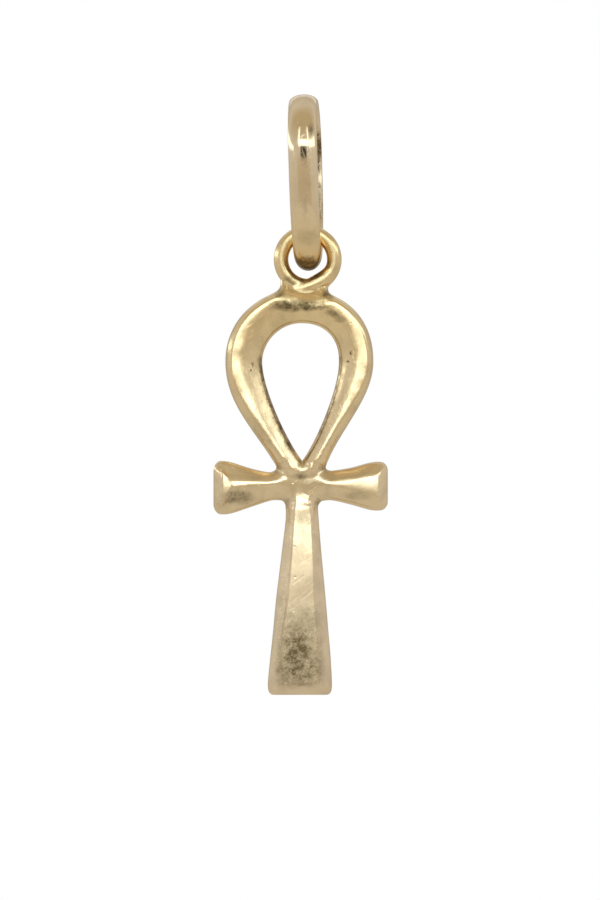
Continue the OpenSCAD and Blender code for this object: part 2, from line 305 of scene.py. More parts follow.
def tarnish_and_shade(tree, mm, patina, patches):
    """How darkened a place is, from 0 to 1, by tarnish and by painted shade. A faint patina lies all over.
    Each patch has its middle, its half sizes and a strength. Blotches, and specks of about a tenth of a
    millimetre, break up both."""
    rags = add_node(tree, "ShaderNodeTexNoise",
                    {"Vector": mm, "Scale": RAGS_PER_MM, "Detail": 5.0}).outputs["Color"]
    shifted = add_node(tree, "ShaderNodeVectorMath", {0: rags, 1: (RAGGED, RAGGED, RAGGED), 2: mm},
                       operation="MULTIPLY_ADD").outputs[0]
    clouds = add_node(tree, "ShaderNodeTexNoise",
                      {"Vector": mm, "Scale": CLOUDS_PER_MM, "Detail": 6.0}).outputs["Fac"]
    dirt_and_shade = add_node(tree, "ShaderNodeMapRange", {"Value": clouds, "From Min": 0.42, "From Max": 0.75,
                                                 "To Min": 0.0, "To Max": patina}).outputs[0]
    for *middle, half_x, half_y, half_z, strength in patches:
        away = add_node(tree, "ShaderNodeVectorMath",
                        {0: shifted, 1: tuple(c + RAGGED / 2 for c in middle)},
                        operation="SUBTRACT").outputs[0]
        shares = add_node(tree, "ShaderNodeVectorMath", {0: away, 1: (1 / half_x, 1 / half_y, 1 / half_z)},
                          operation="MULTIPLY").outputs[0]
        far = add_node(tree, "ShaderNodeVectorMath", {0: shares}, operation="LENGTH").outputs["Value"]
        here = add_node(tree, "ShaderNodeMapRange", {"Value": far, "From Min": PATCH_CORE,
                                                     "From Max": PATCH_EDGE, "To Min": strength,
                                                     "To Max": 0.0},
                        interpolation_type="SMOOTHSTEP").outputs[0]
        dirt_and_shade = add_node(tree, "ShaderNodeMath", {0: dirt_and_shade, 1: here}, operation="ADD").outputs[0]
    blotches = add_node(tree, "ShaderNodeTexNoise",
                        {"Vector": mm, "Scale": BLOTCHES_PER_MM, "Detail": 3.0}).outputs["Fac"]
    patchy = add_node(tree, "ShaderNodeMapRange", {"Value": blotches, "From Min": 0.38, "From Max": 0.6,
                                                   "To Min": 0.72, "To Max": 1.1}).outputs[0]
    specks = add_node(tree, "ShaderNodeTexNoise", {"Vector": mm, "Scale": SPECKS_PER_MM, "Detail": 4.0,
                                                   "Roughness": 0.7}).outputs["Fac"]
    speckled = add_node(tree, "ShaderNodeMapRange", {"Value": specks, "From Min": 0.36, "From Max": 0.62,
                                                     "To Min": 0.66, "To Max": 1.15}).outputs[0]
    dirt_and_shade = add_node(tree, "ShaderNodeMath", {0: dirt_and_shade, 1: patchy}, operation="MULTIPLY").outputs[0]
    return add_node(tree, "ShaderNodeMath", {0: dirt_and_shade, 1: speckled}, operation="MULTIPLY",
                    use_clamp=True).outputs[0]


# The casting's grain is drawn at a quarter of a millimetre. The real one is finer and wouldn't show.
GRAINS_PER_MM = 4.0
# Two runs of scratches: the turn in radians, and how many go in a millimetre. They are drawn a little wider
# than real ones, so that they show.
SCRATCH_RUNS = ((0.35, 17.0), (-0.9, 14.0))
SCRATCH_DEPTH = 0.0025
# How many strokes of the brush go in a millimetre, and how many lengths of a stroke or scratch
STROKES_PER_MM, STROKE_LENGTHS_PER_MM = 9.0, 0.7
# A cell of this pattern has a pit if its random grey is over PITTED. The floor and the edge of a pit are so
# many cells from its middle.
CELLS_PER_MM, PITTED = 1.3, 0.62
PIT_DEPTH, PIT_FLOOR, PIT_EDGE = 0.012, 0.03, 0.1


def fine_relief(tree, mm, grain, brush):
    """Height in millimetres of what is too small for the mesh: grain, scratches, brush strokes and pits"""
    bumps = add_node(tree, "ShaderNodeTexNoise",
                     {"Vector": mm, "Scale": GRAINS_PER_MM, "Detail": 3.0}).outputs["Fac"]
    height = add_node(tree, "ShaderNodeMath", {0: bumps, 1: grain}, operation="MULTIPLY").outputs[0]
    for turn, per_mm in SCRATCH_RUNS:
        lying = add_node(tree, "ShaderNodeVectorRotate", {"Vector": mm, "Angle": turn},
                         rotation_type="Y_AXIS").outputs[0]
        drawn = add_node(tree, "ShaderNodeVectorMath",
                         {0: lying, 1: (per_mm, per_mm, STROKE_LENGTHS_PER_MM)},
                         operation="MULTIPLY").outputs[0]
        lines = add_node(tree, "ShaderNodeTexNoise",
                         {"Vector": drawn, "Scale": 1.0, "Detail": 1.0}).outputs["Fac"]
        cut = add_node(tree, "ShaderNodeMapRange", {"Value": lines, "From Min": 0.64, "From Max": 0.72,
                                                    "To Min": 0.0, "To Max": -SCRATCH_DEPTH}).outputs[0]
        height = add_node(tree, "ShaderNodeMath", {0: height, 1: cut}, operation="ADD").outputs[0]
    brushed = add_node(tree, "ShaderNodeVectorMath",
                       {0: mm, 1: (STROKES_PER_MM, STROKES_PER_MM, STROKE_LENGTHS_PER_MM)},
                       operation="MULTIPLY").outputs[0]
    strokes = add_node(tree, "ShaderNodeTexNoise",
                       {"Vector": brushed, "Scale": 1.0, "Detail": 2.0}).outputs["Fac"]
    height = add_node(tree, "ShaderNodeMath", {0: strokes, 1: brush, 2: height},
                      operation="MULTIPLY_ADD").outputs[0]
    cells = add_node(tree, "ShaderNodeTexVoronoi", {"Vector": mm, "Scale": CELLS_PER_MM}).outputs
    hollow = add_node(tree, "ShaderNodeMapRange", {"Value": cells["Distance"], "From Min": PIT_FLOOR,
                                                   "From Max": PIT_EDGE, "To Min": -PIT_DEPTH,
                                                   "To Max": 0.0}).outputs[0]
    pitted = add_node(tree, "ShaderNodeMath", {0: cells["Color"], 1: PITTED},
                      operation="GREATER_THAN").outputs[0]
    return add_node(tree, "ShaderNodeMath", {0: hollow, 1: pitted, 2: height},
                    operation="MULTIPLY_ADD").outputs[0]


def worn_gold(name, low, high, roughness, grain, brush, patina, origin, patches):
    """Hand-finished gold. Low and high are two heights, each with the gold's colour there, which on the
    bail's foot is a painted reflection of the ring. Patches darken it with tarnish and painted shade. Grain
    and brush say how high the casting's grain and the brush's strokes are. All places are taken from the
    origin."""
    made = bpy.data.materials.new(name)
    made.use_nodes = True
    tree = made.node_tree
    shader = tree.nodes["Principled BSDF"]
    shader.inputs["Metallic"].default_value = 1.0

    place = add_node(tree, "ShaderNodeTexCoord").outputs["Object"]
    mm = add_node(tree, "ShaderNodeVectorMath",
                  {0: place, 1: (1 / MM, 1 / MM, 1 / MM), 2: tuple(-c for c in origin)},
                  operation="MULTIPLY_ADD").outputs[0]
    stain_and_shade = tarnish_and_shade(tree, mm, patina, patches)
    up = add_node(tree, "ShaderNodeSeparateXYZ", {0: mm}).outputs["Z"]
    rise = add_node(tree, "ShaderNodeMapRange",
                    {"Value": up, "From Min": low[0], "From Max": high[0]}).outputs[0]
    clean = add_node(tree, "ShaderNodeMix", {"Factor": rise, "A": linear(low[1]), "B": linear(high[1])},
                     data_type="RGBA").outputs["Result"]
    tint = add_node(tree, "ShaderNodeMix", {"Factor": stain_and_shade, "A": clean, "B": linear(TARNISH_AND_SHADE_COLOUR)},
                    data_type="RGBA").outputs["Result"]
    dullness = add_node(tree, "ShaderNodeMapRange", {"Value": stain_and_shade, "To Min": roughness,
                                                     "To Max": roughness + DULLED}).outputs[0]
    bump = add_node(tree, "ShaderNodeBump", {"Height": fine_relief(tree, mm, grain, brush),
                                             "Distance": MM, "Strength": 1.0}).outputs["Normal"]
    tree.links.new(tint, shader.inputs["Base Color"])
    tree.links.new(dullness, shader.inputs["Roughness"])
    tree.links.new(bump, shader.inputs["Normal"])
    return made


# Painted shade darkens the inside of the hoop's back and the underside of its foot, where it also dulls the
# ring's glints, and dirt lies in a seam down its front. Each row of this and later tables of tarnish and
# painted shade has a patch's middle in x, y and z, its half size in x, y and z, and its strength.
BAIL_TARNISH_AND_SHADE = (
    (0.2, -0.9, -9.3, 1.6, 1.5, 0.72, 1.2), (0.2, -3.0, -7.6, 0.9, 2.0, 0.6, 0.22),
    (0.2, 2.9, -1.9, 1.5, 1.3, 1.3, 1.4), (0.2, 2.7, -5.5, 1.5, 1.3, 2.8, 1.0),
    (0.06, -3.3, -5.9, 0.22, 1.0, 0.9, 0.2), (0.42, -2.9, -1.5, 0.14, 1.0, 0.6, 0.7)
)
# Polished gold is smooth enough to mirror the lamps and the lens as bands with clear edges. Its foot is
# yellower, a painted reflection of the ring.
polished = worn_gold("polished 9-carat gold band", low=(-9.0, GOLD_WITH_RING_REFLECTION), high=(-6.0, GOLD),
                     roughness=0.12, grain=0.0012, brush=0.0, patina=0.12, origin=(0, 0, 0),
                     patches=BAIL_TARNISH_AND_SHADE)
bail.data.materials.append(polished)
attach(bail, "hanger")
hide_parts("bail")


# The looped cross. It was cast in one piece with the shank that its ring is soldered to. Slopes of many
# widths rise from its rounded sides to a ridge round the loop and along the arms, and to a flat face on the
# stem. It was filed and tumbled by hand, so nothing on it is quite straight, even or sharp.

# How far the stem, the left arm and the loop reach from the crossing. The loop is widest at LOOP_MID.
STEM_L, ARM_LEFT = 12.22, 5.12
LOOP_MID, LOOP_LEFT, LOOP_RIGHT, LOOP_TOP = 7.36, 4.42, 4.28, 11.6
EYE_HALF, EYE_TOP = 2.26, 9.64
RING_R, WIRE_R = 1.57, 0.44
# Widths of the bevels at the ends of the arms and at the foot of the stem
ARM_BEVEL, FOOT_BEVEL = 0.5, 0.64

# The middle of the crossing, the corners over and under the arms, and the foot of the eye
HUB = np.array([0.02, -0.02])
NOTCH_LEFT, NOTCH_RIGHT = (-1.42, 1.22), (1.48, 1.2)
ARMPIT_LEFT, ARMPIT_RIGHT = (-0.95, -0.92), (1.12, -0.94)
EYE_FOOT = (0.1, 1.54)

joint = Vector(frame["joints"][0]["pos_m"]) / MM
ankh_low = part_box("ankh")[0] / MM
crossing = Vector((ankh_low.x + ARM_LEFT, 0, ankh_low.z + STEM_L))
ring_at = np.array([joint.x - crossing.x, joint.z - crossing.z])

# How round a slope is, from 0 for a plane to 1 for a quarter of an ellipse
ARM_ROUND, UPPER_ROUND, NOTCH_ROUND, STEM_ROUND = 0.25, 0.1, 0.6, 0.1
LOOP_ROUND, MID_ROUND, TOP_ROUND = 0.85, 0.62, 0.45


def spline(rows, gap=0.07):
    """A smooth line through rows of numbers, whose first two are x and z, at points about a gap apart"""
    rows = np.array(rows, float)
    ends = np.vstack([2 * rows[0] - rows[1], rows, 2 * rows[-1] - rows[-2]])
    line = []
    for a, b, c, d in zip(ends, ends[1:], ends[2:], ends[3:]):
        steps = max(1, round(math.dist(b[:2], c[:2]) / gap))
        for t in np.arange(steps) / steps:
            line.append((2 * b + (c - a) * t + (2 * a - 5 * b + 4 * c - d) * t * t
                         + (3 * b - a - 3 * c + d) * t ** 3) / 2)
    return np.array(line + [rows[-1]])


# Places round the corner at an arm's end: the angle, and how far the slope has narrowed to the end's bevel
ARM_CORNER = ((math.pi / 2, 1.0), (1.38, 0.9), (1.02, 0.5), (0.55, 0.15))


def arm_edge(end_run, end_drop, rows):
    """Rows along an arm's edge from the round corner at its end inward, each with the arm's roundness. The
    corner ends end_run further out than the first row, and end_drop lower."""
    roundness = UPPER_ROUND if end_drop > 0 else ARM_ROUND
    x, z, slope, crest = rows[0]
    corner = [(x + end_run * math.sin(a), z - end_drop * (1 - math.cos(a)),
               mix(slope, ARM_BEVEL, narrowed), crest) for a, narrowed in ARM_CORNER]
    return [(*row, roundness) for row in corner + rows]


# Each row along an arm's edge: x and z from the crossing, width of the slope there, and height of the crest
# that it rises to
left_upper = arm_edge(-0.46, 0.62, [
    (-4.66, 1.54, 1.34, 1.0), (-4.05, 1.45, 1.24, 1.0), (-2.9, 1.09, 0.82, 0.98), (-1.95, 0.885, 0.6, 0.91),
    (-1.62, 0.93, 0.6, 0.88), (-1.46, 1.04, 0.68, 0.9)])
right_upper = arm_edge(0.45, 0.55, [
    (4.68, 1.49, 0.74, 1.0), (4.05, 1.43, 0.72, 1.0), (2.9, 1.13, 0.66, 0.98), (1.95, 0.975, 0.64, 0.91),
    (1.63, 1.0, 0.62, 0.87), (1.51, 1.07, 0.68, 0.9)])
left_lower = arm_edge(-0.46, -0.62, [
    (-4.66, -1.61, 1.5, 1.0), (-4.05, -1.55, 1.5, 1.0), (-2.9, -1.17, 1.3, 0.98), (-1.8, -0.815, 1.0, 0.9),
    (-1.25, -0.775, 0.85, 0.84), (-1.07, -0.81, 0.8, 0.81), (*ARMPIT_LEFT, 0.7, 0.79),
    (-0.89, -1.08, 0.58, 0.8)])
right_lower = arm_edge(0.47, -0.55, [
    (4.66, -1.38, 0.7, 1.0), (4.05, -1.34, 0.76, 1.0), (2.9, -1.02, 0.76, 0.98), (1.9, -0.79, 0.84, 0.91),
    (1.4, -0.8, 0.84, 0.85), (1.24, -0.83, 0.8, 0.81), (*ARMPIT_RIGHT, 0.7, 0.79),
    (1.05, -1.08, 0.56, 0.8)])
NOTCH_SLOPE, NOTCH_CREST = 0.78, 0.94
left_upper.append((*NOTCH_LEFT, NOTCH_SLOPE, NOTCH_CREST, NOTCH_ROUND))
right_upper.append((*NOTCH_RIGHT, NOTCH_SLOPE, NOTCH_CREST, NOTCH_ROUND))

# The stem: distance down from the crossing, its left and right edge, the width of either slope, and the
# height of the face
STEM_ROWS = (
    (1.25, -0.88, 1.03, 0.5, 0.44, 0.81), (1.95, -0.88, 1.07, 0.43, 0.4, 0.828),
    (3.8, -1.1, 1.22, 0.52, 0.44, 0.912), (6.6, -1.44, 1.48, 0.6, 0.58, 0.956),
    (8.4, -1.61, 1.63, 0.5, 0.62, 0.965), (9.9, -1.77, 1.76, 0.56, 0.6, 0.965),
    (11.3, -1.91, 1.84, 0.74, 0.66, 0.96), (11.85, -1.91, 1.83, 0.74, 0.66, 0.955),
    (12.08, -1.84, 1.77, 0.74, 0.66, 0.955), (12.19, -1.72, 1.64, 0.74, 0.66, 0.955),
    (12.22, -1.6, 1.5, 0.74, 0.66, 0.955)
)
left_lower += [(left, -down, slope, face, STEM_ROUND) for down, left, _, slope, _, face in STEM_ROWS]
right_lower += [(right, -down, slope, face, STEM_ROUND) for down, _, right, _, slope, face in STEM_ROWS]

left_upper, right_upper = spline(left_upper), spline(right_upper)
left_lower, right_lower = spline(left_lower), spline(right_lower)

CURVE_POINTS = 60
# A quarter turn stops this short of a right angle, whose cosine may come out under zero
NO_ANGLE = 1e-9


def leg_edge(start, angle, pull_low, pull_high, half):
    """A leg's edge, which leaves the crossing at an angle and ends upright at the loop's widest place"""
    a, d = np.array(start), np.array([half, LOOP_MID])
    side = math.copysign(1, half)
    b = a + np.array([side * math.sin(math.radians(angle)), math.cos(math.radians(angle))]) * pull_low
    c = d - np.array([0, pull_high])
    return [a * (1 - t) ** 3 + b * 3 * (1 - t) ** 2 * t + c * 3 * (1 - t) * t * t + d * t ** 3
            for t in np.linspace(0, 1, CURVE_POINTS)]


def quarter(half, top, fullness):
    """From the loop's side to its top. The curve is an ellipse at a fullness of 2 and fuller above that."""
    power = 2 / fullness
    return [np.array([half * math.cos(a) ** power, LOOP_MID + (top - LOOP_MID) * math.sin(a) ** power])
            for a in np.linspace(0, math.pi / 2 - NO_ANGLE, CURVE_POINTS)]


def resample(line, count):
    """The same line with that many points, evenly spaced"""
    line = np.array(line)
    run = np.concatenate([[0], np.cumsum(np.hypot(*np.diff(line[:, :2], axis=0).T))])
    return np.stack([np.interp(np.linspace(0, run[-1], count), run, column) for column in line.T], axis=1)


# The sides of the shank, from where they leave the arch to inside the ring's wire
SHANK_LEFT = ((-2.42, 10.98), (-2.14, 11.14), (-1.83, 11.29), (-1.5, 11.46), (-1.27, 11.65), (-1.19, 11.85),
              (-1.15, 12.3))
SHANK_RIGHT = ((2.42, 11.0), (2.14, 11.15), (1.86, 11.29), (1.66, 11.46), (1.57, 11.65), (1.58, 11.85),
               (1.7, 12.2))
# The arch stops a little below the shank. This share of the eye's top is matched to the arch, and the rest
# to the shank and the ring's wire.
ARCH_GAP, EYE_SPLIT = 0.08, 0.62
LEG_ROWS, ARCH_ROWS, SHANK_ROWS, WIRE_ROWS = 88, 46, 30, 12


def loop_side(side, notch, angle, pulls, half, full, eye_angle, eye_pulls, eye_full, shank):
    """One half of the loop as matched rows of its outer and inner edge, from the crossing up to the top"""
    arch = [p for p in quarter(side * half, LOOP_TOP, full) if p[1] < shank[0][1] - ARCH_GAP]
    eye = quarter(side * EYE_HALF, EYE_TOP, eye_full)
    split = int(len(eye) * EYE_SPLIT)
    wire_start = math.atan2(shank[-1][1] - ring_at[1], shank[-1][0] - ring_at[0])
    wire = [ring_at + RING_R * np.array([math.cos(a), math.sin(a)])
            for a in np.linspace(wire_start, -math.pi / 2, WIRE_ROWS)]
    outer = np.vstack([resample(leg_edge(notch, angle, *pulls, side * half), LEG_ROWS),
                       resample(spline([*arch, *shank[:3]]), ARCH_ROWS)[1:],
                       resample(spline([*shank[2:], *wire]), SHANK_ROWS)[1:]])
    inner = np.vstack([resample(leg_edge(EYE_FOOT, eye_angle, *eye_pulls, side * EYE_HALF), LEG_ROWS),
                       resample(eye[:split], ARCH_ROWS)[1:],
                       resample(eye[split - 1:], SHANK_ROWS)[1:]])
    return outer, inner


# The slopes' widths are shares of the leg's width, which counts for no more than WIDEST. The shares change
# from the foot of the legs to the loop's widest place. The slopes get less round further up.
WIDEST, LEG_FOOT = 2.28, 1.2
MID_START, MID_RUN = 5.4, 2.2
TOP_START, TOP_RUN = 9.4, 1.5
LOOP_CREST = 1.0


def with_slopes(outer, inner, low_share, outer_share, inner_share):
    """The edges of half the loop with the widths of their slopes, the crest's height and the roundness"""
    width = np.minimum(np.hypot(*(outer - inner).T), WIDEST)
    z = outer[:, 1]
    up = smooth((z - LEG_FOOT) / (LOOP_MID - LEG_FOOT))
    crest = np.full(len(outer), LOOP_CREST)
    roundness = mix(LOOP_ROUND, MID_ROUND, smooth((z - MID_START) / MID_RUN))
    roundness = mix(roundness, TOP_ROUND, smooth((z - TOP_START) / TOP_RUN))
    return (np.column_stack([outer, width * mix(low_share, outer_share, up), crest, roundness]),
            np.column_stack([inner, width * mix(1 - low_share, inner_share, up), crest, roundness]))


outer_l, inner_l = loop_side(
    side=-1, notch=NOTCH_LEFT, angle=31, pulls=(2.55, 2.49), half=LOOP_LEFT, full=2.08,
    eye_angle=38, eye_pulls=(1.5, 1.53), eye_full=1.92, shank=SHANK_LEFT)
outer_r, inner_r = loop_side(
    side=1, notch=NOTCH_RIGHT, angle=20, pulls=(2.3, 2.15), half=LOOP_RIGHT, full=2.2,
    eye_angle=36, eye_pulls=(1.5, 1.53), eye_full=2.3, shank=SHANK_RIGHT)
outer_l, inner_l = with_slopes(outer_l, inner_l, low_share=0.42, outer_share=0.155, inner_share=0.66)
outer_r, inner_r = with_slopes(outer_r, inner_r, low_share=0.46, outer_share=0.16, inner_share=0.58)


def end_line(a, b, bevel):
    """The straight end of an arm or of the stem, between its two corners, with the width of its bevel"""
    return np.array([(*a[:2], bevel), (*b[:2], bevel)])


# The edges that slopes rise from. The loop's outer ones stop about where the ring's wire begins.
shank_open = SHANK_ROWS // 2
chains = [
    np.vstack([left_upper, outer_l[1:-shank_open]]),
    np.vstack([right_upper, outer_r[1:-shank_open]]),
    np.vstack([inner_l, inner_r[::-1]]),
    left_lower,
    right_lower,
]
ends = [
    end_line(left_upper[0], left_lower[0], ARM_BEVEL),
    end_line(right_upper[0], right_lower[0], ARM_BEVEL),
    end_line(left_lower[-1], right_lower[-1], FOOT_BEVEL),
]
BEYOND_ALL, NO_LENGTH = 1e9, 1e-12


def nearest(points, chain):
    """The nearest place on a chain for each point: how far in from there it is, as a share of the slope's
    width and in millimetres, and what else the chain's rows say of that place"""
    found = np.full((chain.shape[1] - 1, len(points)), BEYOND_ALL)
    for a, b in zip(chain, chain[1:]):
        along = b[:2] - a[:2]
        t = np.clip((points - a[:2]) @ along / max(along @ along, NO_LENGTH), 0, 1)
        gap = np.hypot(*(points - a[:2] - t[:, None] * along).T)
        slope, *others = a[2:, None] + t * (b - a)[2:, None]
        here = np.stack([gap / slope, gap, *others])
        closer = here[1] < found[1]
        found[:, closer] = here[:, closer]
    return found


# Half the depth at the very edge, half the depth where a slope starts, and the width of the round between
SIDE, RIM, SHOULDER = 0.18, 0.36, 0.24
# How sharply slopes meet each other, and how sharply they stop at the crest
BLEND, LEVEL_OFF = 5.0, 9.0
# What counts as the share at the very edge, where it would be nothing
LEAST_SHARE = 1e-4
# Where the lower of two heights counts, they are blended while they differ by less than this
SOFT_EDGE = 0.16
# The crossing is lower than the ridges that run into it, between these sides, with a dish in its middle
HUB_CREST, HUB_X, HUB_LOW, HUB_HIGH = 0.83, 1.5, -0.95, 1.15
HUB_FADE_X, HUB_FADE_Z = 0.7, 0.6
DISH_DEPTH, DISH_Z, DISH_HALF_X, DISH_HALF_Z = 0.03, -0.15, 0.45, 0.75
# An arm's front bulges: beyond ARM_START it falls with the square of the height from its middle line
ARM_BULGE, ARM_START, ARM_RUN = 0.072, 1.3, 1.6
ARM_HALF, ARM_FADE = 2.3, 0.6
# Between these distances from the ring's middle the front sinks to a share of its height, and is the shank
NECK_NEAR, NECK_FAR, NECK_SHARE = 1.5, 3.0, 0.34
# Long and short waves that casting and filing left, and their heights. The short ones are another slice of
# the noise. Below STEM_TOP the stem was filed more evenly.
LONG_WAVE, SHORT_WAVE, LONG_RISE, SHORT_RISE = 1.6, 0.7, 0.02, 0.007
OTHER_SLICE = 5
STEM_EVEN, STEM_TOP, STEM_RUN = 0.45, -3, 1.5


def unevenness(points):
    """Slight waves in the surface"""
    return np.array([LONG_RISE * noise.noise((x / LONG_WAVE, 0, z / LONG_WAVE))
                     + SHORT_RISE * noise.noise((x / SHORT_WAVE, OTHER_SLICE, z / SHORT_WAVE))
                     for x, z in points])


def level_off(share):
    """Rises with the share and softly stops at 1"""
    return share / (1 + share ** LEVEL_OFF) ** (1 / LEVEL_OFF)


def lower_of(a, b):
    """The lower of two heights, with a soft edge where they meet"""
    meeting = np.clip(1 - np.abs(a - b) / SOFT_EDGE, 0, 1)
    return np.minimum(a, b) - meeting ** 2 * SOFT_EDGE / 4


def relief(points):
    """Height of the front over the middle plane. From the sides the slopes rise, blend and level off at a
    crest. Then the ends, the crossing, the arms and the shank take from that height."""
    x, z = points.T
    shares, gaps, crests, rounds = np.stack([nearest(points, chain) for chain in chains], axis=1)
    pull = np.maximum(shares, LEAST_SHARE) ** -BLEND
    share = pull.sum(0) ** (-1 / BLEND)
    crest, roundness = (pull * crests).sum(0) / pull.sum(0), (pull * rounds).sum(0) / pull.sum(0)
    at_hub = (smooth((HUB_X - np.abs(x)) / HUB_FADE_X) * smooth((z - HUB_LOW) / HUB_FADE_Z)
              * smooth((HUB_HIGH - z) / HUB_FADE_Z))
    crest = mix(crest, lower_of(crest, HUB_CREST), at_hub)
    rise = mix(level_off(share), np.sqrt(1 - (1 - np.minimum(share, 1)) ** 2), roundness)

    # Bevels cut the arms and the stem off at their ends, where the surface is even
    in_from_side, in_from_end = gaps.min(0), np.full(len(points), 1.0)
    for end in ends:
        end_share, end_gap = nearest(points, end)
        rise = lower_of(rise, end_share)
        in_from_side = np.minimum(in_from_side, end_gap)
        in_from_end = np.minimum(in_from_end, end_share ** 2)
    inward = np.clip(in_from_side / SHOULDER, 0, 1)
    side = SIDE + (RIM - SIDE) * np.sqrt(1 - (1 - inward) ** 2)

    dish = DISH_DEPTH * np.exp(-(x / DISH_HALF_X) ** 2 - ((z - DISH_Z) / DISH_HALF_Z) ** 2)
    on_arm = smooth((np.abs(x) - ARM_START) / ARM_RUN) * smooth((ARM_HALF - np.abs(z)) / ARM_FADE)
    fall = ARM_BULGE * z * z * rise * on_arm
    evened = mix(STEM_EVEN, 1, smooth((z - STEM_TOP) / STEM_RUN))
    uneven = unevenness(points) * inward * in_from_end * evened
    from_ring = (np.hypot(*(points - ring_at).T) - NECK_NEAR) / (NECK_FAR - NECK_NEAR)
    return (side + (crest - RIM) * rise - dish - fall + uneven) * mix(NECK_SHARE, 1, smooth(from_ring))


ACROSS, FAN = 24, 24
ARM_COUNT, STEM_COUNT = 72, 170
# Where each limb stops fanning out, on either of its edges
LEFT_NECK = ((-1.95, -0.84), (-1.95, 0.885))
RIGHT_NECK = ((1.95, 0.975), (1.95, -0.79))
STEM_NECK = ((1.07, -1.95), (-0.88, -1.95))


def row_at(line, point):
    """The number of the point on a line that is nearest to a place"""
    return int(np.argmin(np.hypot(*(line[:, :2] - point).T)))


def limb(left, right, fans):
    """Rows of points from one edge to the other, closer together near the edges. Fans are the numbers of
    the first or last rows, which spread from the hub."""
    middle = (left + right) / 2
    for i in fans:
        middle[i] = mix(HUB, middle[i], (i if i >= 0 else -1 - i) / FAN)
    share = np.sin(np.linspace(0, math.pi / 2, ACROSS + 1))
    return np.array([[m + (a - m) * k for k in share[::-1]] + [m + (b - m) * k for k in share[1:]]
                     for a, m, b in zip(left, middle, right)])


def straight_limb(edges, necks, count):
    """An arm or the stem, from edges that run out from the crossing, with FAN steps on each to its neck"""
    left, right = [
        np.vstack([resample(edge[:row_at(edge, neck) + 1, :2], FAN + 1),
                   resample(edge[row_at(edge, neck):, :2], count - FAN)[1:]])
        for edge, neck in zip(edges, necks)]
    return limb(left, right, range(FAN))


at_left, at_right = row_at(left_lower, ARMPIT_LEFT), row_at(right_lower, ARMPIT_RIGHT)
arm_left = straight_limb((left_lower[at_left::-1], left_upper[::-1]), LEFT_NECK, ARM_COUNT)
arm_right = straight_limb((right_upper[::-1], right_lower[at_right::-1]), RIGHT_NECK, ARM_COUNT)
stem = straight_limb((right_lower[at_right:], left_lower[at_left:]), STEM_NECK, STEM_COUNT)
loop = limb(np.vstack([outer_l, outer_r[-2::-1]])[:, :2], np.vstack([inner_l, inner_r[-2::-1]])[:, :2],
            [*range(FAN), *range(-FAN, 0)])


def skin(limbs):
    """Points and faces of the cross. Its mirror on the back closes each front row to a section. A limb
    comes with whether its last section is an open end, which gets a cap."""
    points, faces = [], []
    for rows, open_end in limbs:
        base, n = len(points), 2 * rows.shape[1]
        high = relief(rows.reshape(-1, 2)).reshape(rows.shape[:2])
        for row, h in zip(rows, high):
            points += [(x, -y, z) for (x, z), y in zip(row, h)]
            points += [(x, y, z) for (x, z), y in zip(row[::-1], h[::-1])]
        last = base + n * (len(rows) - 1)
        faces += [(i + j, i + (j + 1) % n, i + n + (j + 1) % n, i + n + j)
                  for i in range(base, last, n) for j in range(n)]
        if open_end:
            faces += [(last + j, last + j + 1, last + n - 2 - j, last + n - 1 - j)
                      for j in range(n // 2 - 1)]
    return points, faces


points, faces = skin([(loop, False), (arm_right, True), (stem, True), (arm_left, True)])
cross = make_mesh("ankh_cross", points, faces, tuple(crossing))

# The lower face of the stem is darkest: mottled old tarnish, deepened by painted shade for the dark lens
# opening that the face mirrors. Painted shade lies under the arms, along the top of the loop, over the
# lower end of the ring's left wire, inside the ring and in the corners where the shank meets the loop,
# where it dulls highlights and the glints the pieces throw on each other. The corners of the crossing are
# darker too. Four specks of tarnish lie on the loop's legs.
CAST_TARNISH_AND_SHADE = (
    (-0.05, -1.0, -10.2, 2.1, 0.42, 2.4, 0.55), (-0.1, -1.0, -9.5, 0.8, 0.5, 0.95, 0.25),
    (-0.1, -1.0, -10.9, 1.7, 0.42, 0.95, 0.25), (0.9, -0.9, 10.64, 0.9, 0.9, 0.3, 0.8),
    (0.0, -1.0, -7.9, 1.4, 0.5, 1.8, 0.3), (0.24, -0.9, -1.82, 0.5, 0.9, 0.5, 0.3),
    (-3.65, -0.8, -0.6, 1.1, 0.9, 0.5, 0.6), (3.4, -0.8, -0.53, 1.1, 0.9, 0.32, 0.25),
    (-0.5, -0.9, 10.66, 1.5, 0.9, 0.4, 1.0),
    (1.9, -0.8, 10.2, 0.5, 0.9, 0.3, 0.75), (2.35, -0.8, 9.85, 0.4, 0.9, 0.3, 0.75),
    (-2.8, -0.8, 7.2, 0.09, 0.9, 0.09, 1.0), (-2.97, -0.8, 6.94, 0.09, 0.9, 0.09, 1.0),
    (2.74, -0.8, 7.37, 0.09, 0.9, 0.09, 1.0), (2.97, -0.8, 7.85, 0.09, 0.9, 0.09, 1.0),
    (0.0, -0.8, 0.62, 0.45, 0.9, 0.25, 0.6), (0.1, 0.0, 1.5, 0.4, 1.5, 0.4, 0.5),
    (-1.35, 0.0, 1.1, 0.4, 1.5, 0.35, 0.5), (1.4, 0.0, 1.1, 0.4, 1.5, 0.35, 0.5),
    (-0.95, 0.0, -0.95, 0.35, 1.5, 0.4, 0.5), (1.1, 0.0, -0.95, 0.35, 1.5, 0.4, 0.5),
    (0.42, 0.0, 13.39, 1.2, 3.0, 1.2, 1.1), (-1.2, 0.0, 11.3, 0.45, 2.0, 0.36, 0.75),
    (1.62, 0.0, 11.3, 0.45, 2.0, 0.36, 0.75), (-0.62, -0.5, 12.1, 0.42, 0.9, 0.4, 0.5)
)
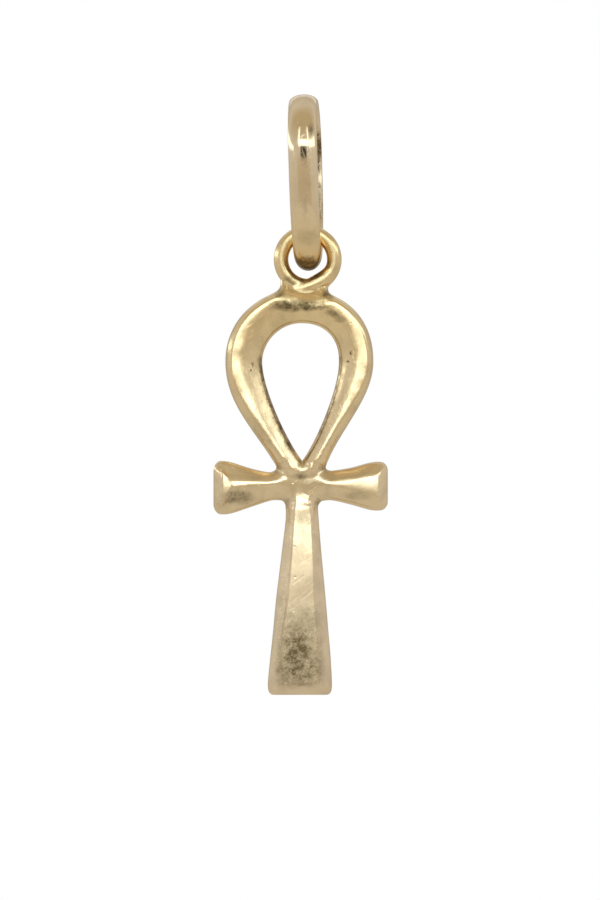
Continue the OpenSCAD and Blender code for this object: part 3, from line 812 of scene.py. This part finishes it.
# Painted shade also lies along the inner edges of both legs, in spots that overlap, wider and darker on the
# left. These are the rows of the edges that have one.
LEFT_SHADE_ROWS, RIGHT_SHADE_ROWS = slice(14, 94, 8), slice(30, 94, 8)
EDGE_SHADE_SPOTS = (tuple((x + 0.02, -0.5, z, 0.42, 1.2, 0.5, 0.72) for x, z in inner_l[LEFT_SHADE_ROWS, :2])
              + tuple((x, -0.5, z, 0.3, 1.2, 0.5, 0.5) for x, z in inner_r[RIGHT_SHADE_ROWS, :2]))
STEM_GOLD, RING_GOLD = "f0d9b5", "f1d49e"
# Cast and tumbled gold is less smooth than the bail, so that lamps spread to pale patches with soft edges.
# It turns yellower from the stem up to the ring.
cast = worn_gold("cast and tumbled 9-carat gold", low=(-6.0, STEM_GOLD), high=(14.0, RING_GOLD),
                 roughness=0.2, grain=0.003, brush=0.002, patina=0.3, origin=crossing,
                 patches=CAST_TARNISH_AND_SHADE + EDGE_SHADE_SPOTS)
cross.data.materials.append(cast)
lit_low.objects.link(cross)
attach(cross, "cross")
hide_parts("ankh")


# The ring. A ring of round gold wire is soldered to the shank, and one end of its wire runs down across the
# shank's front. The solder has flowed round both and smoothed the corners between them.

RING_STEPS, WIRE_STEPS, SOLDER_STEPS = 72, 20, 40
# The run of the wire's end: x and z from the ring's middle, how far forward, and the wire's radius there
WIRE_END = (
    (1.52, -0.38, 0.0, 0.42), (1.33, -0.76, 0.0, 0.45), (1.02, -1.08, 0.02, 0.49), (0.66, -1.32, 0.04, 0.5),
    (0.26, -1.52, 0.07, 0.48), (-0.2, -1.68, 0.13, 0.41), (-0.6, -1.78, 0.18, 0.33),
    (-0.95, -1.84, 0.22, 0.22)
)
WIRE_END_GAP = 0.05
# The solder on the shank's front and back: height from the ring's middle, left, right and half depth
SOLDER = (
    (-1.15, -1.5, 1.48, 0.15), (-1.3, -1.54, 1.36, 0.32), (-1.45, -1.58, 1.28, 0.42),
    (-1.6, -1.6, 1.23, 0.47), (-1.8, -1.68, 1.2, 0.5), (-2.0, -1.9, 1.3, 0.52), (-2.2, -2.1, 1.5, 0.52),
    (-2.5, -2.2, 1.7, 0.5), (-2.8, -2.0, 1.7, 0.4)
)
# Under 1 the solder is fuller than an ellipse
SOLDER_POWER = 0.9
# The cubes that wire and solder are joined from, then how much and how often the join is smoothed
VOXEL, FLOW, FLOW_ROUNDS = 0.045, 0.5, 30


def turn_in(steps):
    """The angles of a full turn in that many steps"""
    return [2 * math.pi * i / steps for i in range(steps)]


def ring_sections():
    """The wire's sections round the ring"""
    return [[((RING_R + WIRE_R * math.cos(b)) * math.cos(a), WIRE_R * math.sin(b),
              (RING_R + WIRE_R * math.cos(b)) * math.sin(a)) for b in turn_in(WIRE_STEPS)]
            for a in turn_in(RING_STEPS)]


def wire_end_sections():
    """The wire's sections along its end, which thins as it runs down across the shank"""
    line = spline(WIRE_END, WIRE_END_GAP)
    made = []
    for k, (x, z, forward, r) in enumerate(line):
        before, after = line[max(k - 1, 0)], line[min(k + 1, len(line) - 1)]
        run = Vector((after[0] - before[0], before[2] - after[2], after[1] - before[1])).normalized()
        across = run.cross(Vector((0, 1, 0))).normalized()
        over = across.cross(run)
        made.append([tuple(Vector((x, -forward, z)) + (across * math.cos(b) + over * math.sin(b)) * r)
                     for b in turn_in(WIRE_STEPS)])
    return made


def solder_sections():
    """Level sections through the solder"""
    return [[(mix(left, right, 0.5 + math.cos(a) / 2),
              -deep * math.copysign(abs(math.sin(a)) ** SOLDER_POWER, a - math.pi), z)
             for a in turn_in(SOLDER_STEPS)] for z, left, right, deep in SOLDER]


points, faces = [], []
for sections, closed in ((ring_sections(), True), (wire_end_sections(), False), (solder_sections(), False)):
    base, n = len(points), len(sections[0])
    points += [p for section in sections for p in section]
    faces += [tuple(base + i for i in face) for face in tube(sections, closed)]
    if not closed:
        faces += [tuple(range(base, base + n)), tuple(range(len(points) - n, len(points)))]
ring = make_mesh("ankh_ring", points, faces, tuple(joint))
fused = ring.modifiers.new("soldered", "REMESH")
fused.mode = "VOXEL"
fused.voxel_size = VOXEL * MM
fused.use_smooth_shade = True
flowed = ring.modifiers.new("flowed", "SMOOTH")
flowed.factor = FLOW
flowed.iterations = FLOW_ROUNDS
ring.data.materials.append(cast)
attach(ring, "cross")
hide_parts("ankh")
lit_dimly.objects.link(ring)
